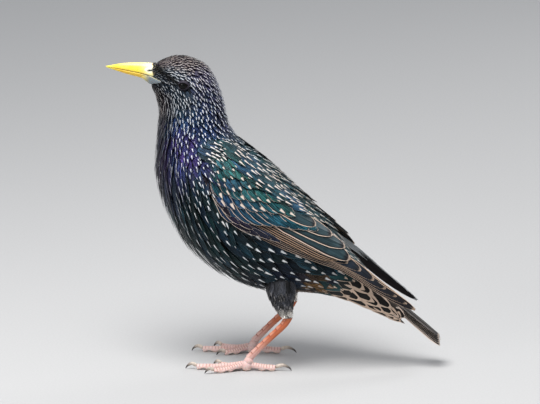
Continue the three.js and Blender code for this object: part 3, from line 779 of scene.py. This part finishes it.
# number, first tip, last tip, root behind the tip, half width, height over the shell, colours, pale trim
COVERTS = [
    (4, (33, 1.0), (49, 3.4), (27, -0.4), 1.7, 2.1, "#15121c", "#141a28", 0.05, 0.02, 0.008),  # primary
    (10, (23.5, 1.2), (62, 17.8), (22, -4.2), 3.3, 2.6, "#132439", "#184049", 0.03, 0.02, 0.014),  # greater
    (4, (15, 1.6), (33, 3.4), (17, -0.2), 1.5, 3.0, "#120f18", "#151222", 0.06, 0.02, 0.01),  # alula
    (8, (15.5, 3.8), (49, 20.5), (14, -2.8), 3.1, 3.0, "#152c4a", "#163f3f", 0.02, 0.015, 0.0),  # median
    (8, (11.5, 5.2), (38, 22), (10.5, -2.0), 2.8, 3.3, "#153a44", "#133b38", 0.015, 0.01, 0.0),  # lesser
    (7, (8.6, 6.6), (29, 23), (9, -1.6), 2.6, 3.5, "#162b48", "#133b37", 0.0, 0.0, 0.0),
    (7, (6.2, 8.4), (21, 24), (8, -1.2), 2.4, 3.6, "#133a3e", "#133b35", 0.0, 0.0, 0.0),
    (6, (4.0, 10.5), (13, 24.5), (6.5, -0.8), 2.1, 3.5, "#122f38", "#143c38", 0.0, 0.0, 0.0),  # marginal
]
coverts = Feathers()
for row, (n, first, last, behind, half, out, near_dye, far_dye, *trim) in enumerate(COVERTS):
    k = spread(n)
    edged = trim[2] > 0  # the rows that end in a pale rim instead of a pale spot
    tip = each(first[0] + (last[0] - first[0]) * k, first[1] + (last[1] - first[1]) * k**0.85)
    tip = tip + rng.uniform(-0.5, 0.5, (n, 2)) * (1 if edged else 2.0)
    coverts.grow(
        on_wing, tip - np.array(behind), tip, half, out - 0.9, out,
        over(near_dye, far_dye, k) * rng.uniform(0.7, 1.4, (n, 1)),
        each(0.0 if edged else 0.24, 0.5, draw(n), 1), each(*trim, 0.7), strip(k, n, 0.06 + 0.11 * row),
        rows=12, columns=BROAD, lean=0.1, ridge=0.08, start=0.6, power=2.0, blunt=0.6 if edged else 0.75,
        patch_size=(0.9 / n, 0.1),
    )
# first and last tip of each row of scapulars, as along and up, from the mantle down over the wing
SCAPULARS = [
    ((9, 32), (45, 36)),
    ((12, 29.4), (47, 33.5)),
    ((9, 27), (49, 31)),
    ((14, 25), (52, 28.5)),
    ((21, 22.8), (58, 26)),
]
for row, (first, last) in enumerate(SCAPULARS):
    n = 7
    k = spread(n)
    tip = np.array(first) + (np.array(last) - np.array(first)) * k[:, None] + rng.uniform(-1.2, 1.2, (n, 2))
    tint = over("#132f2f", "#17304a", rng.uniform(0, 0.7, n))
    high = 3.8 + 0.1 * row - 0.19 * np.maximum(0, tip[:, 1] - 25) - 0.045 * np.maximum(0, tip[:, 0] - 28)
    coverts.grow(
        on_wing, tip - np.array((15.5, 0.5)), tip, 2.5, high - 1.5, high, tint * rng.uniform(0.7, 1.4, (n, 1)),
        each(0.28, 0.4, draw(n), 1), PLAIN, strip(k, n, 0.9 + 0.02 * row), rows=12, columns=BROAD, cup=0.05,
        ridge=0.06, ragged=0.07, patch_size=(0.12, 0.017), **SOFT,
    )
# the shoulder's short feathers, which cover the roots of the scapulars and blend the neck's side in
tip = np.stack(np.meshgrid(np.arange(-4, 17, 2.7), np.arange(13, 38, 2.3), indexing="ij"), -1)
tip[:, ::2, 0] += 1.35
tip = tip.reshape(-1, 2) + rng.uniform(-0.6, 0.6, (tip.size // 2, 2))
tip = tip[tip[:, 0] < 3 + 0.5 * (tip[:, 1] - 12)]
n = len(tip)
high = 3.2 + 0.03 * tip[:, 0] - 0.17 * np.maximum(0, tip[:, 1] - 25)
tint = over("#102b28", "#182338", rng.uniform(0, 0.6, n) + 0.4 * step(-tip[:, 0], -2, 4))
coverts.grow(
    on_wing, tip - np.array((8.5, -0.6)), tip, 1.9, high - 2.6, high, tint * rng.uniform(0.6, 1.3, (n, 1)),
    each(rng.uniform(0.24, 0.42, n), 0.3, draw(n), 1), PLAIN,
    each(0.02 + 0.96 * (np.arange(n) + 0.5) / n, 0.992), rows=10, cup=0.05, ragged=0.07, **SOFT,
)
keep_wing("coverts", coverts, plumage("covert_feather", 0.6, 0.38, 1.05, slim=0.2))

# The tail: twelve folded feathers under a roof of coverts, the undertail coverts
# barred black and cream, lying close below the tail.
TAIL_ROOT, TAIL_TIP, TAIL_ARCH, TAIL_DROOP = np.array([38.0, 55.6]), np.array([87.6, 14.6]), 0.03, 0.1
TAIL_LONG = float(np.linalg.norm(TAIL_TIP - TAIL_ROOT))
TAIL_AXIS = (TAIL_TIP - TAIL_ROOT) / TAIL_LONG


def on_tail(along, aside, out):
    """The tail's roof: arched across, and drooping more beyond 4 mm from the middle."""
    lift = out - TAIL_ARCH * aside**2 - TAIL_DROOP * np.maximum(np.abs(aside) - 4, 0) ** 2
    x = TAIL_ROOT[0] + TAIL_AXIS[0] * along - TAIL_AXIS[1] * lift
    return each(x, aside, TAIL_ROOT[1] + TAIL_AXIS[1] * along + TAIL_AXIS[0] * lift)


tail = Feathers()
for _, side in SIDES:
    n = 6
    k = spread(n)
    outer = 0.012 + 0.15 * k**6
    end = TAIL_LONG - 3.2 + 3.4 * k + 0.2 * rng.uniform(-1, 1, n)
    tail.grow(
        on_tail, each(1, side * (0.6 + 2.6 * k)), each(end, side * (1.2 + 3.9 * k)), 3.1, -1.9 * k, -1.9 * k - 0.1,
        dye("#261c15"), each(0, 0.5, draw(n), 1), each(outer * (side < 0), outer * (side > 0), 0.012, 0.8),
        strip((np.arange(n) + n * (side > 0)) / (2 * n - 1), 2 * n, 0.5), rows=22, lean=side * (0.1 + 0.16 * k),
        bend=-2.4 * side * k, start=0.84, power=2.0, blunt=0.5, patch_size=(0.07, 0.9), **QUILL,
    )
tail_feather = plumage("tail_feather", 0.12, 0.5, 0.3, 0.12, barbs=900, slope=0.05)
keep("tail_feathers", tail.mesh(), tail_feather, ["tail"])

tail_coverts = Feathers()
cells = rings(np.arange(14.3, 18.8, 0.4), lambda t: 11 - 0.9 * (t - 14.4), 0.06)
t, a = cells.T
n = len(t)
past = t - 14.4
aft = step(t, 14.4, 15.6)
below = step(-np.sin(a), -0.6, -0.3)
barred = below * aft
ends = each(np.minimum(t + 1.6 - 0.1 * past, 19.5 + 0.5 * rng.uniform(-1, 1, n)), a + 0.03 * rng.normal(size=n))
tone = over(over(GLOSS["green"], "#2c2622", aft), "#0d0b0a", barred) * rng.uniform(0.7, 1.5, (n, 1))
mark = each(0.13 * (1 - barred), 0.45 + 0.2 * below, draw(n), 1)
trim = each(0.21 * barred, 0.21 * barred, 0.15 * barred, 0)
tail_coverts.grow(
    on_body, cells, ends, 4.6 - 0.48 * past, -2.4 + 0.3 * past, 0.15 * rng.normal(size=n), tone, mark, trim,
    each(a / TURN, t / 20), rows=10, columns=BROAD, cup=0.04, **SOFT,
)
covert_feather = plumage("tail_covert_feather", 0.3, 0.48, 0.4, slim=0.3)
keep("tail_coverts", tail_coverts.mesh(), covert_feather)

# The bill: two horn halves that meet along the mouth line, yellow, with the nostril
# under its flap at the base of the upper half and blue-grey horn at the lower base.
MOUTH = [(-87, 155.5), (-77.3, 154.2), (-67.5, 152.5), (-61.8, 150.6), (-57, 147.4)]
CULMEN = [(-87, 155.8), (-78.6, 157.5), (-70.5, 157.9), (-63.5, 157.6), (-57, 157.4)]
CHIN = [(-86.4, 155.25), (-77.1, 152.1), (-67.4, 149.5), (-62, 146.2), (-57, 144)]
BILL_HALF = [0.45, 1.9, 3.1, 4.2, 4.9]
BILL_END = 3.35  # the station that the horn reaches, in under the feathers
NOSTRIL = (-63.9, 154.3)


def bill_half(edge, upper):
    """One half's surface, from the mouth line to its edge; the upper half is hollowed at the nostril."""
    sign = 1 if upper else -1

    def place(share, angle):
        t = share * BILL_END
        (x, mouth), rim, half = np.moveaxis(glide(MOUTH, t), -1, 0), glide(edge, t)[..., 1], glide(BILL_HALF, t)
        arch = np.where(np.sin(angle) > 0, np.abs(np.sin(angle)) ** 0.8, 0)
        z = mouth + sign * 0.15 + (rim - mouth - sign * 0.15) * arch
        y = half * np.cos(angle)
        if upper:
            far = np.hypot((x - NOSTRIL[0]) / 1.7, (z - NOSTRIL[1] - 0.12 * (x - NOSTRIL[0])) / 0.6)
            ridge = np.hypot((x - NOSTRIL[0]) / 2.3, (z - NOSTRIL[1] - 1.0) / 0.7)
            y = y * (1 - 0.22 * np.exp(-(far**2)) + 0.07 * np.exp(-(ridge**2)))
        return each(x, y, z)

    return place


bill_horn, wire = finish("bill_horn", Subsurface_Weight=0.08, Subsurface_Scale=0.002, Coat_Roughness=0.2)
place = wire.place()
x, _, z = place.split()
cloud = place.noise(260, 4)
base = x.ramp(-0.0705, -0.0635)
# low is the bill's lower part: it carries the real blue-grey base and the painted shade below
low = (z + x * 0.19 - 0.1402).ramp(0.0005, -0.0009)
horn = cloud.ramp(0.25, 0.75).blend("#e6ca30", "#f0df58")
# a pale band along the top of the bill: painted highlight from the light above
horn = (z + x * 0.03 - 0.1537).ramp(0.0004, 0.0018, 0, 0.35).blend(horn, "#f3ecc4")
# orange on the lower part between tip and base: painted shade under the bill
horn = ((1 - base) * low * x.ramp(-0.086, -0.078, 0, 0.45)).blend(horn, "#cf8a1c")
horn = (base * low).blend(horn, "#6a7277")
horn = (base * (1 - low) * 0.5).blend(horn, "#e9e4cf")
x, z = x - NOSTRIL[0] * MM, z - NOSTRIL[1] * MM
flap = ((x + 0.0003) * 380) ** 2 + ((z - 0.0005) * 900) ** 2
slit = (x * 620) ** 2 + ((z - x * 0.12) * 2300) ** 2
horn = flap.ramp(1.4, 0.6, 0, 0.85).blend(horn, "#eceadf")
slit.ramp(1.3, 0.5).blend(horn, (0.01, 0.008, 0.008, 1)).feed("Base Color")
(0.3 + cloud * 0.2).feed("Roughness")
wire.node("Mapping", sockets={0: place, 3: (300, 2500, 2500)}).noise(1, 3).bump(0.25, 0.0001)
keep("bill_upper_horn", mesh_of(sleeve(bill_half(CULMEN, True), 110, 96)), bill_horn, ["bill_upper"])
keep("bill_lower_horn", mesh_of(sleeve(bill_half(CHIN, False), 90, 64)), bill_horn, ["bill_lower"])


# The frontal bristles: short dark feathers that reach forward over the horn above
# each nostril, so that the plumage ends in a ragged line.
def on_base(share, angle, out):
    return bill_half(CULMEN, True)(share, angle) + out[..., None] * each(0, np.cos(angle), np.sin(angle))


bristles = Feathers()
n = 130
a = rng.uniform(0.12, math.pi - 0.12, n)
t = rng.uniform(0.9, 0.95, n)
reach = 0.02 + 0.09 * draw(n) ** 1.6
bristles.grow(
    on_base, each(t, a), each(t - reach, a + 0.08 * rng.normal(size=n)), rng.uniform(0.2, 0.34, n), 0.1,
    0.3 + 0.15 * draw(n), over(GLOSS["lores"], "#4a4440", draw(n) ** 3),
    each(0.5, 0.1, draw(n), 0.8 * (draw(n) < 0.2)), PLAIN, each(a / TURN, 0.004), rows=6, **LANCE,
)
keep("coat_bristles", bristles.mesh(), head_feather)

# The gape: a soft pale flange on each side that carries the bill's lower edge back
# under the lores to the corner of the mouth. It follows the cheek, a little sunk.
cheek_t, cheek_a = np.meshgrid(np.linspace(0, 3, 61), np.linspace(0.5 * math.pi, 1.5 * math.pi, 91))
cheek = on_body(cheek_t.ravel(), cheek_a.ravel(), 0)
gape_line = [(-68.6, -2.5, 151.2), (-66.2, -3.25, 150.3)]
for x, z in [(-63.8, 149.9), (-61.4, 150.0), (-59.3, 150.1), (-57.4, 150.1)]:
    near = cheek[np.argmin((cheek[:, 0] - x) ** 2 + (cheek[:, 2] - z) ** 2)]
    gape_line.append((x, near[1] - 0.2, z))
for name, side in SIDES:
    line = [(x, -side * y, z) for x, y, z in gape_line]

    def flange(share, angle):
        t = share * 5
        r = glide([0.3, 1.3, 2.1, 1.5, 0.9, 0.4], t) * np.clip((1 - share) * 14, 0, 1) ** 0.5
        return glide(line, t) + each(0, side * 0.4 * r * np.cos(angle), r * np.sin(angle))

    keep(f"gape_{name}", mesh_of(sleeve(flange, 24, 20)), bill_horn)

# The eyes: dark glossy balls with a black pupil, set in the head behind thin bare
# lids. Each lid is a closed ring that lies on the ball and slopes into the feathers.
EYE_RADIUS, EYE_TURN = 3.1, math.radians(10)
LID_LONG, LID_HIGH, LID_RADIUS = 2.45, 1.95, 3.2
eyeball, wire = finish("eyeball", Roughness=0.03, Specular_IOR_Level=0.14)
place = wire.place()
x, _, z = place.split()
far = ((x - (EYE[0] - 0.5) * MM) ** 2 + (z - EYE[2] * MM) ** 2).maths("SQRT")
iris = place.noise(2600, 2).ramp(0.3, 0.7).blend("#060303", "#0c0605")
far.ramp(0.0012, 0.00135).blend((0.002, 0.002, 0.002, 1), iris).feed("Base Color")
lid_skin, wire = finish("lid_skin", Roughness=0.6, Specular_IOR_Level=0.2)
grain = wire.node("TexVoronoi", sockets={"Vector": wire.place(), "Scale": 2600})
grain.ramp(0.1, 0.7).blend("#3d3843", "#211d26").feed("Base Color")
grain.bump(0.6, 0.0001)


def ball(radius, centre, around, rows):
    bm = bmesh.new()
    bmesh.ops.create_uvsphere(bm, u_segments=around, v_segments=rows, radius=radius * MM)
    bmesh.ops.translate(bm, verts=bm.verts, vec=Vector(centre) * MM)
    return bm


for name, side in SIDES:
    centre = np.array([EYE[0], side * EYE[1], EYE[2]])
    keep(f"eyeball_{name}", mesh_of(ball(EYE_RADIUS, centre, 48, 32)), eyeball, [f"eye_{name}"])

    def lid(share, angle):
        turn = TURN * share
        thick = 0.34 + 0.08 * np.sin(turn)
        sight = np.array([-math.sin(EYE_TURN), side * math.cos(EYE_TURN), 0])
        ahead = np.array([-math.cos(EYE_TURN), -side * math.sin(EYE_TURN), 0])
        corner = 1 + 0.12 * np.abs(np.cos(turn)) ** 6
        ring = (LID_LONG * np.cos(turn) * corner)[..., None] * ahead
        ring = ring + (LID_HIGH * np.sin(turn))[..., None] * np.array([0, 0, 1])
        far = np.linalg.norm(ring, axis=-1)
        middle = centre + ring + sight * np.sqrt(np.maximum(LID_RADIUS**2 - far**2, 0.3))[..., None]
        reach = thick * np.where(np.cos(angle) > 0, 2.0, 0.75) * np.cos(angle)
        sink = thick * 0.6 * np.sin(angle) - 0.3 * np.cos(angle) - 0.5 * np.maximum(reach, 0) ** 1.5
        return middle + ring / far[..., None] * reach[..., None] + sight * sink[..., None]

    keep(f"lids_{name}", mesh_of(sleeve(lid, 64, 14)), lid_skin)

# The legs: tarsi sheathed in front with large scutes, four toes with ringed scales
# above and soft pads below, and curved horn claws.
TOE_JOINT, FLAT = (-13.8, 5.4), 0.3
scales, wire = finish("leg_scales", Subsurface_Weight=0.12, Subsurface_Scale=0.0015)
place = wire.place()
z = place.split()[2]
cloud = place.noise(300, 4)
cell = wire.node("TexVoronoi", {"feature": "DISTANCE_TO_EDGE"}, {"Vector": place, "Scale": 1100})
around, turns, _ = wire.node("UVMap", {"uv_map": "length"}).split()
phase = turns.maths("FRACT")
from_front = (around - 0.25).maths("ABSOLUTE")
upper = from_front.ramp(0.25, 0.16)
groove = (phase.ramp(0.14, 0.02) + phase.ramp(0.93, 0.99)) * upper
seam = (from_front - 0.21).maths("ABSOLUTE").ramp(0.04, 0.0, 0, 0.55) * z.ramp(0.006, 0.012)
colour = z.ramp(0.004, 0.02).blend("#dfc1bb", "#c2683a")
colour = (cloud.ramp(0.35, 0.75, 0, 0.4) * z.ramp(0.004, 0.014, 0.45, 1)).blend(colour, "#b0563a")
colour = cell.ramp(0.0, 0.07, 0.3, 0).blend(colour, "#a3594a")
colour = (phase.ramp(0.2, 0.75, 0, 0.25) * upper).blend(colour, "#e9c3ae")
colour = (groove * 0.95).maths("MAXIMUM", seam).blend(colour, "#8e4030")
z.ramp(0.0022, 0.0004, 0, 0.8).blend(colour, "#ecd0c4").feed("Base Color")
(0.42 + cloud * 0.2).feed("Roughness")
(cell.ramp(0, 0.12) * 0.4 - groove).bump(0.5, 0.0002)
claw_horn, wire = finish("claw_horn", Coat_Weight=0.2)
grain = wire.place().noise(900, 4)
along = wire.node("UVMap", {"uv_map": "length"}).split()[1]
tone = along.ramp(0.2, 0.8).blend("#d2c3b4", "#221d1c")
grain.ramp(0.3, 0.8, 0, 0.35).blend(tone, "#57473f").feed("Base Color")
(0.28 + grain * 0.2).feed("Roughness")
# name, turn from straight ahead, length, thickness, length of its claw, joints
TOES = [
    ("middle", 0, 25.5, 1.75, 5.6, 9),
    ("inner", 24, 14.5, 1.55, 4.6, 6),
    ("outer", -24, 17.5, 1.6, 4.8, 7),
    ("hind", 180, 15.5, 1.9, 8.2, 6),
]


def limb(points, radii, flatten, ridges):
    """A round limb along points in one upright plane, with its scutes as low ridges."""
    points = np.array(points, float)
    heading = points[-1] - points[0]
    heading[2] = 0
    heading /= np.linalg.norm(heading)
    side = np.array([-heading[1], heading[0], 0])
    last = len(points) - 1

    def place(share, angle):
        t = share * last
        ahead = glide(points, np.minimum(t + 0.02, last)) - glide(points, np.maximum(t - 0.02, 0))
        ahead /= np.linalg.norm(ahead, axis=-1, keepdims=True)
        up = np.cross(side, ahead)
        up *= np.where(up[..., 2:] < 0, -1, 1)
        r = glide(radii, t)
        if ridges:
            phase = (share * ridges) % 1
            front = np.clip(np.sin(angle) + 0.35, 0, 1)
            r = r * (1 + 0.13 * front * (phase**1.5 - 0.4) * np.sin(np.pi * np.clip(share * 1.02, 0, 1)) ** 0.25)
        r = r * np.clip(share * 60 + 0.35, 0, 1) ** 0.5 * np.clip((1 - share) * 40 + 0.3, 0, 1) ** 0.5
        across = side * (r * flatten * np.cos(angle))[..., None]
        return glide(points, t) + across + up * (r * np.sin(angle))[..., None]

    return place


def above_floor(mesh):
    """Flattens what would reach below the floor."""
    for v in mesh.vertices:
        v.co.z = max(v.co.z, 0.0)
    return mesh


for name, side in SIDES:
    y = side * FOOT_SPREAD
    bone = [(8.4, y, 29.6), (5.6, y, 24.6), (-4, y, 15.0), (-12.6, y, 6.0)]
    shank = sleeve(limb(bone, [2.35, 1.95, 1.75, 2.0], 0.78, 9), 120, 28, 9)
    keep(f"shank_{name}", mesh_of(shank), scales, [f"tarsus_{name}"])
    parts = []
    for toe, turn, reach, thick, claw, joints in TOES:
        angle = math.pi + side * math.radians(turn)
        at = lambda far, z: (TOE_JOINT[0] + math.cos(angle) * far, y + math.sin(angle) * far, z)
        path = [at(-1.4, 3.6), at(reach * 0.25, thick + 0.9), at(reach * 0.6, thick - FLAT), at(reach, thick - FLAT)]
        digit = sleeve(limb(path, [2.1, thick * 0.88, thick, thick * 0.86], 1, joints * 2), 110, 24, joints * 2)
        for v in digit.verts:  # the pads under the toe, with hollows between them
            low = max(0.0, 1.6 * MM - v.co.z)
            far = math.hypot(v.co.x / MM - TOE_JOINT[0], v.co.y / MM - y)
            v.co.z += low * 0.6 * (0.5 + 0.5 * math.cos(far * 1.15))
        parts.append(digit)
        start = reach + 0.1
        hook = [(0, thick + 0.4), (claw * 0.42, thick + 1.3), (claw * 0.8, thick + 0.2), (claw, 0.35)]
        nail = sleeve(limb([at(start + far, z) for far, z in hook], [1.05, 0.9, 0.55, 0.14], 0.7, 0), 28, 16)
        keep(f"nail_{name}_{toe}", above_floor(mesh_of(nail)), claw_horn, [f"claw_{name}_{toe}"])
    # the ball under the toes' joint, and the joint itself
    parts += [ball(3.0, (TOE_JOINT[0] + 0.4, y, 2.7), 24, 16), ball(2.45, (TOE_JOINT[0] + 1.5, y, 5.0), 24, 16)]
    keep(f"toes_{name}", above_floor(mesh_of(*parts)), scales, [f"foot_{name}"])
